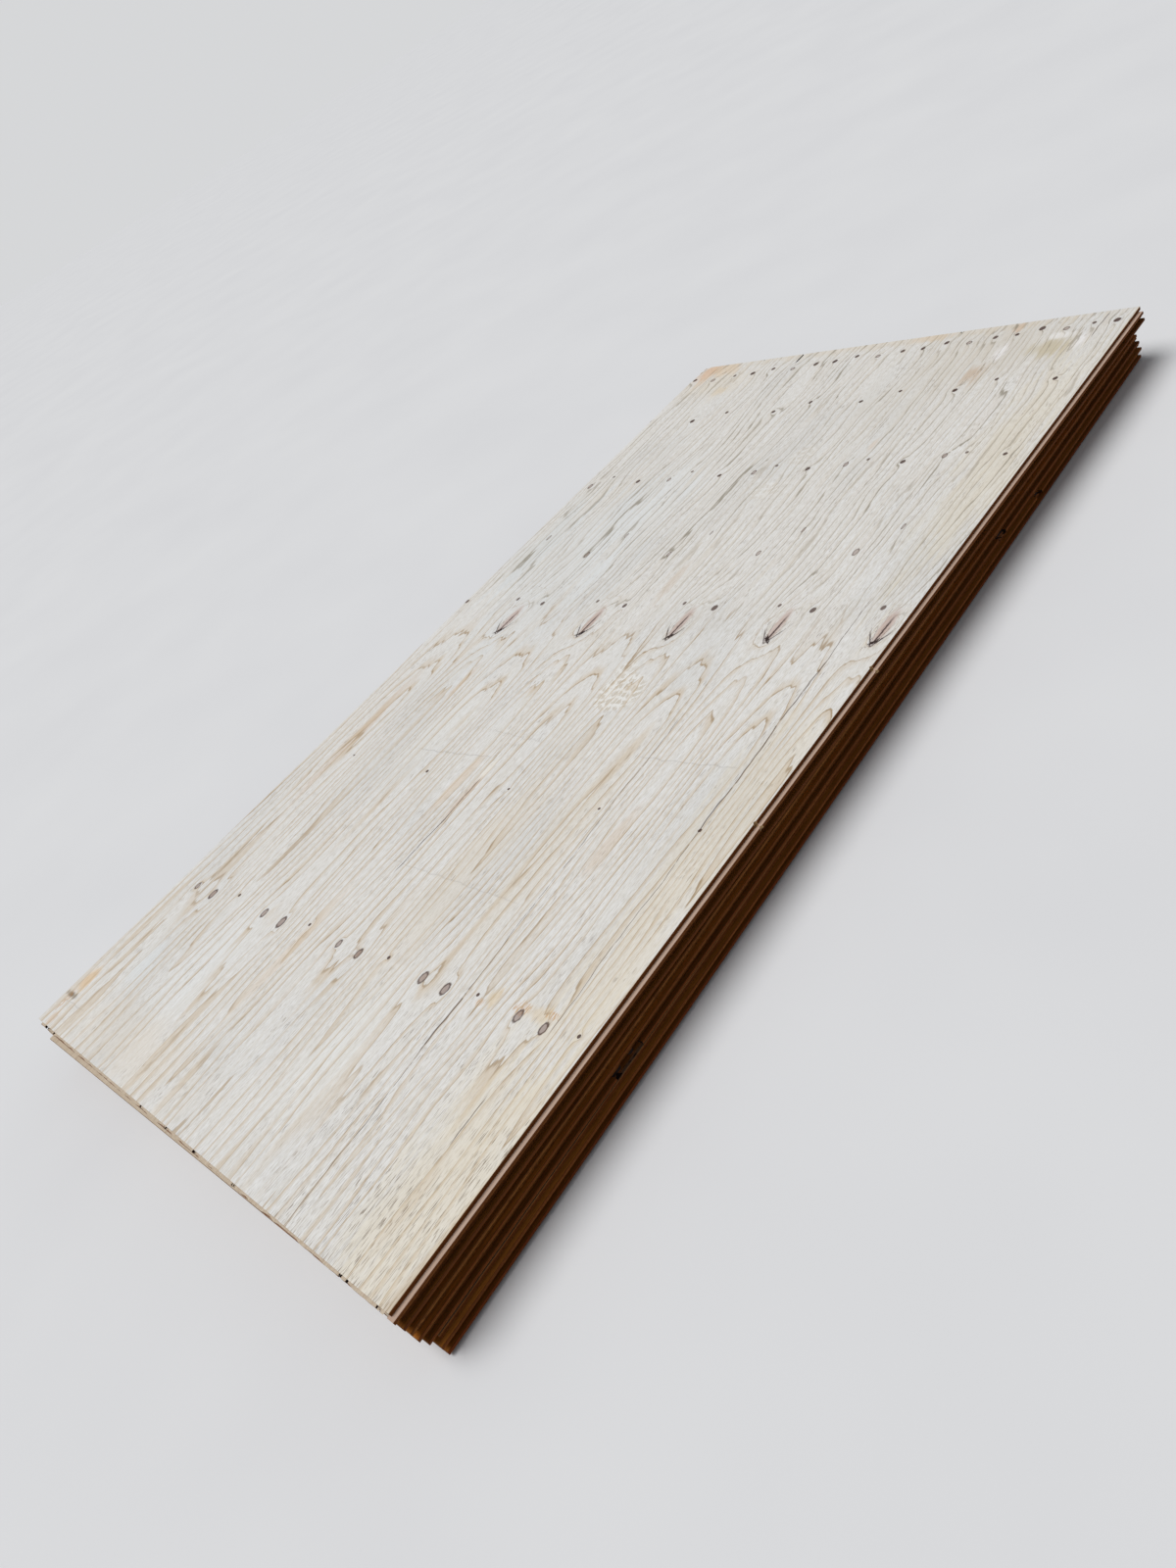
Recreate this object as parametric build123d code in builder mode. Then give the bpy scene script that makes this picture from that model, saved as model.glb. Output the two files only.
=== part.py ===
from build123d import *
import math
import os

# A stack of seven plywood sheets with a tongue on two edges and a groove on the other two.
# X runs along the sheets, Y across them, Z up, with the origin under the middle of the stack.
# Millimetres and degrees.

# One sheet, with the size of its upper face
sheet_length = 2440.0
sheet_width = 1220.0
sheet_thickness = 18.0

# Tongue, on the right long edge and on the near end
lower_cheek = 4.5
tongue_thickness = 6.0
tongue_reach = 9.0
tongue_bevel = 0.8

# Groove, in the left long edge and in the far end, made for the tongue of the next sheet
groove_clearance = 0.2
groove_spare_depth = 0.7

# How each sheet lies, from the floor up: its near right corner is in by the first value and
# out to the right by the second, both measured from the top sheet, and it is turned by the third
lie_of_sheets = {
    "bottom_sheet": (19.3, 6.7, 0.78),
    "sheet_2": (18.7, 8.9, 0.75),
    "sheet_3": (12.7, 1.7, 0.58),
    "sheet_4": (7.6, 1.0, 0.59),
    "sheet_5": (7.6, 0.6, 0.62),
    "sheet_6": (6.3, 2.4, 0.10),
    "top_sheet": (0.0, 0.0, 0.0),
}

# Pieces broken out of the long tongue: where each starts from the near end, and its length
tongue_losses = {
    "sheet_2": [(1857.0, 25.0)],
    "sheet_3": [(407.0, 66.0), (1695.0, 33.0)],
}

# The end tongue of the top sheet has split along its grain: a stub is left, with breaks in it.
# Each break starts that far from the right edge and has the second value as its length
stub_reach = 4.5
stub_breaks = [
    (5.0, 26.0),
    (96.0, 5.0),
    (111.0, 7.0),
    (402.0, 14.0),
    (530.0, 14.0),
    (633.0, 14.0),
    (725.0, 19.0),
    (1140.0, 7.0),
    (1153.0, 38.0),
]

# The far left corner of the top sheet is broken off along this line, given as distances in
# from the far end and in from the left edge
corner_break = [(0.0, 24.0), (20.0, 8.0), (59.0, 6.0), (82.0, 0.0)]

# Nicks in the top sheet's right edge, and in the tip of the tongue below each
nick_places = [857.0, 1232.0]
nick_width = 9.0
nick_depth = 3.0

# Chip under the right edge of the bottom sheet
chip_place = 757.0
chip_length = 50.0
chip_width = 6.0
chip_height = 3.5

# Sizes that follow from these
groove_height = tongue_thickness + 2 * groove_clearance
groove_floor = lower_cheek - groove_clearance
groove_depth = tongue_reach + groove_spare_depth
upper_cheek_floor = lower_cheek + tongue_thickness


def corner_plane(name):
    """Plane of a sheet's underside, with its origin at the near right corner."""
    inward, outward, turn = lie_of_sheets[name]
    level = list(lie_of_sheets).index(name) * sheet_thickness
    along = Vector(math.cos(math.radians(turn)), math.sin(math.radians(turn)), 0)
    return Plane(origin=(inward, -outward, level), x_dir=along, z_dir=(0, 0, 1))


def middle_of_stack():
    """Middle of the rectangle that holds every sheet with its tongues."""
    corners = [
        corner_plane(name).from_local_coords((x, y, 0))
        for name in lie_of_sheets
        for x in (-stub_reach if name == "top_sheet" else -tongue_reach, sheet_length)
        for y in (-tongue_reach, sheet_width)
    ]
    xs = [corner.X for corner in corners]
    ys = [corner.Y for corner in corners]
    return Vector((min(xs) + max(xs)) / 2, (min(ys) + max(ys)) / 2, 0)


middle = middle_of_stack()


def sheet_plane(name):
    """The sheet's own plane, moved so that the stack's middle is at the origin."""
    plane = corner_plane(name)
    return Plane(origin=plane.origin - middle, x_dir=plane.x_dir, z_dir=plane.z_dir)


def make_sheet(name):
    """One sheet as it leaves the mill, less what has broken off it."""
    plane = sheet_plane(name)
    end_reach = stub_reach if name == "top_sheet" else tongue_reach
    along = Axis(plane.origin, plane.x_dir)
    across = Axis(plane.origin, plane.y_dir)

    with BuildPart() as sheet:
        with BuildSketch(plane):
            Rectangle(sheet_length, sheet_width, align=(Align.MIN, Align.MIN))
        extrude(amount=sheet_thickness)

        # The tongues meet at the near right corner
        with BuildSketch(plane.offset(lower_cheek)):
            with Locations((-end_reach, -tongue_reach)):
                Rectangle(
                    sheet_length + end_reach,
                    sheet_width + tongue_reach,
                    align=(Align.MIN, Align.MIN),
                )
        extrude(amount=tongue_thickness)

        # Bevels along the tip of each tongue
        long_tip = sheet.edges().filter_by(along).group_by(across)[0]
        chamfer(long_tip, tongue_bevel)
        if name != "top_sheet":
            end_tip = sheet.edges().filter_by(across).group_by(along)[0]
            chamfer(end_tip, tongue_bevel)

        # The cutter runs the whole edge, so the grooves take the ends of the tongues too
        with BuildSketch(plane.offset(groove_floor)):
            with Locations((sheet_length - groove_depth, -tongue_reach)):
                Rectangle(
                    groove_depth,
                    sheet_width + tongue_reach,
                    align=(Align.MIN, Align.MIN),
                )
            with Locations((-end_reach, sheet_width - groove_depth)):
                Rectangle(
                    sheet_length + end_reach,
                    groove_depth,
                    align=(Align.MIN, Align.MIN),
                )
        extrude(amount=groove_height, mode=Mode.SUBTRACT)

        # Pieces gone from the long tongue
        losses = tongue_losses.get(name, [])
        if losses:
            with BuildSketch(plane.offset(lower_cheek)):
                for start, length in losses:
                    with Locations((start, -tongue_reach)):
                        Rectangle(length, tongue_reach, align=(Align.MIN, Align.MIN))
            extrude(amount=tongue_thickness, mode=Mode.SUBTRACT)

        if name == "top_sheet":
            # Breaks through the stub of the end tongue
            with BuildSketch(plane.offset(lower_cheek)):
                for start, length in stub_breaks:
                    with Locations((-stub_reach, start)):
                        Rectangle(stub_reach, length, align=(Align.MIN, Align.MIN))
            extrude(amount=tongue_thickness, mode=Mode.SUBTRACT)

            # Broken far left corner
            break_line = [(sheet_length - x, sheet_width - y) for x, y in corner_break]
            with BuildSketch(plane):
                with BuildLine():
                    Polyline(*break_line, (sheet_length, sheet_width), close=True)
                make_face()
            extrude(amount=sheet_thickness, mode=Mode.SUBTRACT)

            # Nicks in the upper edge and in the tip of the tongue
            for edge, floor, height in (
                (0.0, upper_cheek_floor, sheet_thickness - upper_cheek_floor),
                (-tongue_reach, lower_cheek, tongue_thickness),
            ):
                with BuildSketch(plane.offset(floor)):
                    for place in nick_places:
                        with BuildLine():
                            Polyline(
                                (place - nick_width / 2, edge),
                                (place, edge + nick_depth),
                                (place + nick_width / 2, edge),
                                close=True,
                            )
                        make_face()
                extrude(amount=height, mode=Mode.SUBTRACT)

        if name == "bottom_sheet":
            # Chip out of the lower right arris
            chip_plane = Plane(
                origin=plane.from_local_coords((chip_place, 0, 0)),
                x_dir=plane.y_dir,
                z_dir=plane.x_dir,
            )
            with BuildSketch(chip_plane):
                with BuildLine():
                    Polyline((0, 0), (chip_width, 0), (0, chip_height), close=True)
                make_face()
            extrude(amount=chip_length, mode=Mode.SUBTRACT)
    return sheet


os.makedirs("parts", exist_ok=True)
for name in lie_of_sheets:
    sheet = make_sheet(name)
    sheet.part.label = name
    export_step(sheet.part, f"parts/{name}.step")
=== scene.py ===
import math
import random

import bpy
from mathutils import Matrix, Vector


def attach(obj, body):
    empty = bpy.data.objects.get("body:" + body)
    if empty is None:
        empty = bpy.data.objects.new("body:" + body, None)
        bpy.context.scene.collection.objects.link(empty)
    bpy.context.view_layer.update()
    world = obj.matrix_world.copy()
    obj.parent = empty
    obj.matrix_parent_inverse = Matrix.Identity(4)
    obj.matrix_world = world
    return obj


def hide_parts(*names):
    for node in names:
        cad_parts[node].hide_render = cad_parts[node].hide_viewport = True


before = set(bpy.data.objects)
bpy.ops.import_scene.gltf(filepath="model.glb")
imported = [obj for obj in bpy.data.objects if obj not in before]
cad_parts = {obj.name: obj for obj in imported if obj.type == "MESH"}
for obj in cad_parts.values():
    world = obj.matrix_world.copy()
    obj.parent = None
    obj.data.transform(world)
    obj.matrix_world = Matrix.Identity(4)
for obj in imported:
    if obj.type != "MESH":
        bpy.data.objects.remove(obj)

random.seed(7)

# The stack is in metres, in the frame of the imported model: X along the sheets, Y across, Z up.
# Sizes and places on a sheet are in millimetres from its near right corner.
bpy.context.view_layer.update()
MM = 0.001
TURN = 2 * math.pi


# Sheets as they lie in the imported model

class Sheet:
    """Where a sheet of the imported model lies, and its sizes in millimetres."""

    def __init__(self, name):
        self.name = name
        points = [v.co.copy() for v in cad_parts[name].data.vertices]
        top = max(p.z for p in points)
        floor = min(p.z for p in points)
        face = [p for p in points if top - p.z < 0.1 * MM]
        near_right = min(face, key=lambda p: p.x + p.y)
        far_right = max(face, key=lambda p: p.x - p.y)
        near_left = max(face, key=lambda p: p.y - p.x)
        along = far_right - near_right
        self.corner = Vector((near_right.x, near_right.y, floor))
        self.turn = math.atan2(along.y, along.x)
        self.length = along.length / MM
        self.width = (near_left - near_right).length / MM
        self.thick = (top - floor) / MM
        self.matrix = Matrix.Translation(self.corner) @ Matrix.Rotation(self.turn, 4, "Z")


LEVELS = ["bottom_sheet", "sheet_2", "sheet_3", "sheet_4", "sheet_5", "sheet_6", "top_sheet"]
sheets = {name: Sheet(name) for name in LEVELS}
TOP = sheets["top_sheet"]
PLIES = 7
PLY = TOP.thick / PLIES

# Profile of an edge: wood under the tongue, the tongue's height and reach, and how much more
# room a groove has at its bottom and above and below the tongue
CHEEK = 4.5
TONGUE = 6.0
REACH = 9.0
SPARE = 0.7
PLAY = 0.2
# What is left of the top sheet's end tongue
STUB = 4.5
# Bevels along the outer edges of a sheet, and along the tips of its tongues
ARRIS = 0.35
TIP_BEVEL = 0.8


# Formulas in materials

def paint(red, green, blue):
    """A colour given as it shows on a screen, 0 to 255, in the form that shaders take."""
    def linear(value):
        share = value / 255
        return share / 12.92 if share <= 0.04045 else ((share + 0.055) / 1.055) ** 2.4
    return (linear(red), linear(green), linear(blue), 1.0)


class Number:
    """A number that a finish works out at each point of the surface."""

    def __init__(self, finish, socket):
        self.finish = finish
        self.socket = socket

    def __add__(self, other):
        return self.finish.math("ADD", self, other)

    def __sub__(self, other):
        return self.finish.math("SUBTRACT", self, other)

    def __rsub__(self, other):
        return self.finish.math("SUBTRACT", other, self)

    def __mul__(self, other):
        return self.finish.math("MULTIPLY", self, other)

    __rmul__ = __mul__

    def __truediv__(self, other):
        return self.finish.math("DIVIDE", self, other)

    def __rtruediv__(self, other):
        return self.finish.math("DIVIDE", other, self)

    def __pow__(self, other):
        return self.finish.math("POWER", self, other)

    def __abs__(self):
        return self.finish.math("ABSOLUTE", self)

    def root(self):
        return self.finish.math("SQRT", self)

    def sine(self):
        return self.finish.math("SINE", self)

    def cosine(self):
        return self.finish.math("COSINE", self)

    def whole(self):
        return self.finish.math("FLOOR", self)

    def rest(self):
        return self.finish.math("FRACT", self)

    def nearest(self):
        return self.finish.math("ROUND", self)

    def least(self, other):
        return self.finish.math("MINIMUM", self, other)

    def most(self, other):
        return self.finish.math("MAXIMUM", self, other)

    def rise(self, start, end):
        """0 before start and 1 after end, smooth between. With end below start it falls.

        The smooth step holds its own ends, so the node's clamp stays off: with it on, the long
        formulas of the face would not fit in the renderer's memory for one shader.
        """
        node = self.finish.add("ShaderNodeMapRange", interpolation_type="SMOOTHSTEP", clamp=False)
        self.finish.feed(node.inputs["Value"], self)
        self.finish.feed(node.inputs["From Min"], start)
        self.finish.feed(node.inputs["From Max"], end)
        return Number(self.finish, node.outputs["Result"])

    def along(self, *stops):
        """A smooth line through (place, value) stops."""
        total = stops[0][1]
        for (start, before), (end, after) in zip(stops, stops[1:]):
            total = self.rise(start, end) * (after - before) + total
        return total


class Finish:
    """A material built up from formulas, with a shader at its end."""

    def __init__(self, name, rough, gloss):
        self.material = bpy.data.materials.new(name)
        self.material.use_nodes = True
        self.tree = self.material.node_tree
        self.tree.nodes.clear()
        self.shader = self.add("ShaderNodeBsdfPrincipled")
        self.shader.inputs["Roughness"].default_value = rough
        self.shader.inputs["Specular IOR Level"].default_value = gloss
        output = self.add("ShaderNodeOutputMaterial")
        self.tree.links.new(self.shader.outputs["BSDF"], output.inputs["Surface"])

    def add(self, kind, **settings):
        """A new node of that kind with those settings."""
        node = self.tree.nodes.new(kind)
        for name, value in settings.items():
            setattr(node, name, value)
        return node

    def feed(self, socket, value):
        """Gives a socket a formula's result or a constant."""
        if isinstance(value, Number):
            self.tree.links.new(value.socket, socket)
        else:
            socket.default_value = value

    def math(self, operation, *values):
        """One step of a formula."""
        node = self.add("ShaderNodeMath", operation=operation)
        for socket, value in zip(node.inputs, values):
            self.feed(socket, value)
        return Number(self, node.outputs[0])

    def place(self, sheet):
        """Where a point lies on that sheet, in millimetres along, across and up."""
        coordinates = self.add("ShaderNodeTexCoord")
        mapping = self.add("ShaderNodeMapping", vector_type="TEXTURE")
        mapping.inputs["Location"].default_value = sheet.corner
        mapping.inputs["Rotation"].default_value = (0, 0, sheet.turn)
        mapping.inputs["Scale"].default_value = (MM, MM, MM)
        self.tree.links.new(coordinates.outputs["Object"], mapping.inputs["Vector"])
        self.point = mapping.outputs["Vector"]
        parts = self.add("ShaderNodeSeparateXYZ")
        self.tree.links.new(self.point, parts.inputs["Vector"])
        return [Number(self, socket) for socket in parts.outputs]

    def soft_noise(self, vector, detail, rough):
        """Soft noise from 0 to 1 at the place that a vector socket gives."""
        node = self.add("ShaderNodeTexNoise", noise_dimensions="3D")
        self.tree.links.new(vector, node.inputs["Vector"])
        node.inputs["Scale"].default_value = 1.0
        node.inputs["Detail"].default_value = detail
        node.inputs["Roughness"].default_value = rough
        return Number(self, node.outputs[0])

    def grain(self, along, across, up=1000, seed=0.0, detail=2.0, rough=0.5):
        """Soft noise from 0 to 1 on the sheet, with patches of that size in millimetres."""
        mapping = self.add("ShaderNodeMapping", vector_type="POINT")
        mapping.inputs["Location"].default_value = (seed * 3.7, seed * 1.9, seed)
        mapping.inputs["Scale"].default_value = (1 / along, 1 / across, 1 / up)
        self.tree.links.new(self.point, mapping.inputs["Vector"])
        return self.soft_noise(mapping.outputs["Vector"], detail, rough)

    def noise(self, x, y, z, detail, rough=0.5):
        """Soft noise from 0 to 1 at a place that formulas give."""
        point = self.add("ShaderNodeCombineXYZ")
        for socket, value in zip(point.inputs, (x, y, z)):
            self.feed(socket, value)
        return self.soft_noise(point.outputs[0], detail, rough)

    def chance(self, value):
        """A random number from 0 to 1 that stays the same for the same value."""
        node = self.add("ShaderNodeTexWhiteNoise", noise_dimensions="1D")
        self.feed(node.inputs["W"], value)
        return Number(self, node.outputs["Value"])

    def mix(self, share, first, second):
        """A colour between two others, with that share of the second."""
        node = self.add("ShaderNodeMix", data_type="RGBA", blend_type="MIX")
        self.feed(node.inputs[0], share)
        self.feed(node.inputs[6], first)
        self.feed(node.inputs[7], second)
        return Number(self, node.outputs[2])

    def dress(self, colour, height=None, depth=0.0):
        """Colour for the shader, and relief of that depth in millimetres from a height of 0 to 1."""
        self.feed(self.shader.inputs["Base Color"], colour)
        if height is not None:
            bump = self.add("ShaderNodeBump")
            bump.inputs["Strength"].default_value = 1.0
            bump.inputs["Distance"].default_value = depth * MM
            self.feed(bump.inputs["Height"], height)
            self.tree.links.new(bump.outputs["Normal"], self.shader.inputs["Normal"])
        return self.material


# Veneer as it came off the log

# Each turn of the log makes one width of veneer, less by twice SHRINK than the turn before
FIRST_GIRTH = 269.9
SHRINK = 6.9
# The first big branch crosses the face at this distance from the right edge
FIRST_BRANCH = 998.0
# The veneer went through the lathe a little askew, so the pattern moves along at each turn
ASKEW = 8.5
# Width of a year's ring
RING = 5.2
# The row of torn branches: place along on the first turn, and its move along at each turn
FLAME_PLACE = 1236.0
FLAME_MOVE = 13.0
# Ring lines on a turn of the log beyond that row, and the girth there
LINES_A_TURN = 13.0
FAR_GIRTH = 240.0

# Wood
PALE = paint(228, 228, 227)
WARM = paint(212, 206, 194)
TAN = paint(196, 172, 136)
LATE = paint(158, 134, 102)
FAR_LATE = paint(138, 131, 116)
GREY = paint(205, 208, 210)
DUSTY = paint(184, 177, 165)
BLEACHED = paint(238, 238, 235)
RESIN = paint(196, 144, 74)
# Knots, the row of torn branches, cracks and checks
KNOT_RIM = paint(70, 50, 44)
KNOT_HEART = paint(140, 114, 104)
TORN_WOOD = paint(188, 160, 148)
TORN_LINE = paint(62, 40, 38)
TORN_HEAD = paint(44, 28, 24)
CRACK = paint(70, 42, 22)
CHECK = paint(118, 96, 74)
# Marks
PRINT_PALE = paint(236, 235, 231)
PRINT_DULL = paint(190, 176, 152)
SCRATCH = paint(128, 124, 124)

# How far the pith lies off the lathe's axis: (place along, distance) stops, in two directions
PITH_X = [(-150, 6.0), (500, 13.0), (950, 14.8), (1330, 4.6), (1480, 9.0), (1800, 8.0), (2200, 6.0)]
PITH_Y = [(0, 4.0), (950, 6.5), (1330, 0.5), (1480, 0.5), (1800, 6.0), (2200, 9.0)]

# Branches: share of a turn, place along, move along at each turn, half length, half width,
# how far the rings swell round it, and how dark it is
BRANCHES = [
    (0.46, 389, 7.4, 11.0, 6.2, 5.0, 0.75),
    (0.72, 385, 7.5, 12.0, 6.8, 6.0, 0.8),
    (0.02, 404, 5.0, 3.5, 3.0, 3.0, 0.9),
    (0.745, 804, 3.8, 3.2, 2.8, 2.0, 0.9),
    (0.85, 1361, 7.5, 6.0, 4.0, 3.0, 0.7),
    (0.21, 1347, 8.2, 7.5, 5.5, 3.0, 0.75),
    (0.17, 1536, 6.0, 10.0, 5.0, 3.0, 0.6),
    (0.44, 1611, 8.0, 9.0, 3.0, 2.5, 0.6),
    (0.89, 1851, 7.4, 6.0, 5.0, 5.0, 0.85),
    (0.285, 1847, 12.0, 9.0, 5.0, 5.0, 0.7),
    (0.49, 1880, 4.0, 4.0, 3.5, 2.5, 0.7),
    (0.81, 2136, 7.0, 6.5, 5.5, 7.0, 0.95),
    (0.18, 2162, 7.5, 6.5, 5.0, 5.0, 0.85),
    (0.0, 2367, 6.0, 7.0, 6.0, 5.0, 0.9),
    (0.235, 2376, 7.0, 7.5, 6.0, 5.0, 0.85),
    (0.51, 2360, 6.5, 8.5, 7.5, 6.0, 0.7),
    (0.77, 2368, 6.5, 7.0, 5.5, 5.0, 0.8),
]

# Cracks: where one starts and ends along, its place across, its slope and its width
CRACKS = [
    (-5, 1060, 252, 0.045, 0.6),
    (290, 440, 252, 0.045, 1.6),
    (400, 1420, 66, 0.0225, 0.6),
    (800, 1250, 66, 0.0225, 1.2),
    (560, 830, 640, 0.0, 1.2),
    (200, 300, 96, 0.0, 0.8),
    (2320, 2445, 60, 0.0, 1.2),
]

# Stains, and broad patches of which the cool grey and bluish ones are painted cool light: middle along and
# across, half length, half width, colour and strength
STAINS_AND_COOL_LIGHT = [
    (2405, 1185, 75, 40, paint(214, 158, 96), 0.75),
    (2412, 1120, 40, 60, paint(222, 180, 126), 0.5),
    (2310, 270, 150, 230, paint(206, 198, 184), 0.6),
    (2222, 285, 54, 32, paint(192, 166, 138), 0.9),
    (2300, 150, 48, 52, paint(190, 178, 146), 0.9),
    (2420, 260, 22, 12, paint(206, 150, 98), 0.5),
    (2428, 480, 18, 60, paint(212, 176, 130), 0.45),
    (425, 214, 20, 14, paint(216, 184, 122), 0.6),
    (430, 112, 18, 28, paint(216, 186, 130), 0.5),
    (870, 1122, 230, 20, paint(196, 160, 118), 0.55),
    (755, 230, 85, 16, paint(200, 168, 124), 0.45),
    (340, 722, 140, 16, paint(214, 186, 150), 0.45),
    (770, 690, 130, 12, paint(210, 176, 132), 0.5),
    (760, 640, 75, 7, paint(196, 156, 112), 0.6),
    (1440, 610, 80, 16, paint(196, 172, 144), 0.5),
    (1060, 950, 80, 10, paint(202, 164, 118), 0.45),
    (2290, 1060, 26, 22, paint(214, 186, 140), 0.5),
    (1950, 390, 30, 10, paint(214, 178, 140), 0.4),
    (110, 1190, 34, 18, paint(218, 176, 112), 0.8),
    (72, 1196, 9, 26, paint(66, 56, 48), 1.2),
    (18, 1180, 22, 14, paint(206, 160, 104), 0.5),
    (848, 642, 30, 7, paint(238, 234, 224), 0.9),
    (2305, 256, 40, 18, paint(240, 239, 241), 0.95),
    (2320, 78, 42, 16, paint(240, 239, 241), 0.95),
    (2354, 140, 16, 44, paint(238, 237, 236), 0.9),
    # Broad patches: the cool grey and bluish ones are painted cool light, the warm ones make the face warmer
    # toward the near right and the right edge
    (1600, 1150, 220, 60, paint(206, 212, 214), 0.5),
    (1180, 540, 60, 60, paint(218, 218, 216), 0.5),
    (190, 1060, 60, 40, paint(218, 224, 228), 0.6),
    (150, 60, 300, 120, paint(224, 212, 186), 0.65),
    (760, 50, 480, 80, paint(220, 206, 178), 0.5),
    (1900, 60, 460, 80, paint(216, 204, 176), 0.5),
    (2434, 620, 30, 640, paint(212, 196, 170), 0.45),
    (1500, 980, 420, 200, paint(214, 219, 222), 0.5),
    (2150, 420, 200, 160, paint(208, 204, 196), 0.5),
    (2330, 1100, 90, 120, paint(220, 206, 180), 0.4),
    (60, 900, 80, 300, paint(224, 212, 194), 0.4),
    (600, 480, 330, 60, paint(216, 200, 172), 0.35),
    (700, 340, 300, 50, paint(216, 202, 176), 0.35),
    (230, 420, 170, 60, paint(230, 230, 226), 0.5),
    (260, 900, 150, 80, paint(228, 231, 232), 0.5),
    (1700, 900, 260, 120, paint(222, 226, 228), 0.5),
    (900, 880, 160, 60, paint(226, 226, 222), 0.4),
]

# Pale islands between the far rings, at each turn of the log: share of a turn, place along,
# move along at each turn, half length and half width
ISLANDS = [(0.487, 1420, 14, 105, 27), (0.815, 2236, 2, 92, 38)]

# Flecks of resin: middle along and across, half length and half width
RESIN_FLECKS = [(408, 232, 14, 16), (428, 150, 22, 30), (436, 92, 14, 26), (60, 1196, 44, 14)]

# Prints of a ribbed sole: middle along and across, half length, half width and strength
PRINTS = [
    (1098, 488, 64, 60, 1.0),
    (1160, 520, 34, 28, 0.7),
    (1782, 580, 40, 40, 0.5),
    (1923, 563, 46, 36, 0.5),
]

# Scratches across the grain: place along at the right edge, slope, from and to across, strength
SCRATCHES = [
    (590, 0.0, 300, 700, 0.16),
    (962, -0.05, 90, 330, 0.22),
    (905, 0.055, 560, 740, 0.16),
    (925, -0.075, 650, 900, 0.24),
    (60, 0.0, 1100, 1215, 0.2),
    (1738, 0.02, 480, 1160, 0.08),
]


def oval(along, across, half_long, half_wide):
    """0 in the middle of an oval and 1 on its outline."""
    return ((along / half_long) ** 2 + (across / half_wide) ** 2).root()


def log_place(x, y):
    """Turn of the log at a point of the face, girth there, and the point on the log itself."""
    turn = (FIRST_GIRTH - (FIRST_GIRTH ** 2 - 4 * SHRINK * (FIRST_BRANCH - y)).root()) / (2 * SHRINK)
    girth = FIRST_GIRTH - 2 * SHRINK * turn
    angle = turn * TURN
    radius = girth / TURN
    return turn, girth, angle.cosine() * radius, angle.sine() * radius, x - turn * ASKEW


def branches(finish, x, turn, girth, wobble):
    """Swelling of the rings round the branches, and how much of a point is rim and heart."""
    swell, rim, heart = 0.0, 0.0, 0.0
    for number, (share, place, move, half_long, half_wide, bump, dark) in enumerate(BRANCHES):
        around = turn - share
        whole = around.nearest()
        size = finish.chance(whole + 7.3 * number) * 0.4 + 0.75
        across = (around - whole) * girth
        ahead = x - place - turn * move
        reach = oval(ahead, across, half_long, half_wide) / size + wobble
        swell = bump / ((reach * 0.42) ** 2 + 1) + swell
        inside = reach.rise(1.12, 0.85)
        heart = (inside * dark).most(heart)
        rim = (abs(reach - 0.92).rise(0.34, 0.05) * dark).most(rim)
        # Small knots are dark all over
        if half_long < 8:
            rim = (inside * dark * 0.95).most(rim)
    return swell, rim, heart


def flames(finish, x, turn, girth, fine):
    """The row of torn branches: swelling, pink wood, dark lines and black head of each."""
    whole = turn.nearest()
    luck = finish.chance(whole * 3.7)
    across = (turn - whole) * girth + (fine - 0.5) * 4.0
    ahead = x - FLAME_PLACE - turn * FLAME_MOVE
    swell = 15.0 / ((oval(ahead - 40.0, across, 66.0, 26.0) * 1.1) ** 2 + 1)
    body = (((ahead - 50.0) / 60.0) ** 2 + (across / (luck * 6 + 10.0)) ** 2).root()
    pink = body.rise(1.1, 0.45)

    # A line along the middle, rays that fan out from the head, and two arms
    taper = ahead.rise(96.0, 50.0) * ahead.rise(0.0, 8.0)
    line = abs(across + (luck - 0.5) * 5.0 - ahead * 0.04).rise(3.2, 0.9) * taper
    spread = across / (ahead + 12.0)
    rays = abs((spread * 5.0 + luck).rest() - 0.5).rise(0.14, 0.04)
    rays = rays * ahead.rise(4.0, 10.0) * ahead.rise(70.0, 30.0)
    rays = rays * abs(spread).rise(0.75, 0.35) * fine.rise(0.35, 0.6)
    arms = abs(abs(across + luck * 2.0) - (ahead + 6.0) * 0.5).rise(2.8, 0.7)
    arms = arms * ahead.rise(44.0, 24.0) * ahead.rise(-8.0, -5.0) * (luck * 0.4 + 0.6)

    # The head leans to one side or the other
    lean = luck.rise(0.4, 0.6) * 1.6 - 0.8
    slanted = across - (ahead - 8.0) * lean
    head = (((ahead - 8.0) / 13.0) ** 2 + (slanted / 6.0) ** 2).root() + (fine - 0.5) * 3.0
    black = head.rise(1.0, 0.6)
    return swell, pink, line.most(rays * 0.7).most(arms), black


def islands(finish, x, turn, fray):
    """How far the far rings are pushed aside by the islands, and how much of a point is inside one."""
    push, inside = 0.0, 0.0
    for share, place, move, half_long, half_wide in ISLANDS:
        around = turn - share
        whole = around.nearest()
        size = finish.chance(whole + share) * 0.6 + 0.55
        across = (around - whole) * FAR_GIRTH
        ahead = x - place - whole * move
        reach = oval(ahead, across, half_long, half_wide) / size + fray
        push = across * 0.85 / (reach ** 2 + 1) + push
        inside = reach.rise(1.0, 0.8).most(inside)
    return push, inside


def resin_flecks(x, y, fuzz):
    """How much of a point is resin."""
    total = 0.0
    for middle, level, half_long, half_wide in RESIN_FLECKS:
        reach = oval(x - middle, y - level, half_long, half_wide)
        total = reach.rise(1.2, 0.3).most(total)
    return (fuzz + total * 0.3).rise(0.74, 0.84) * total.least(1)


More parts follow.
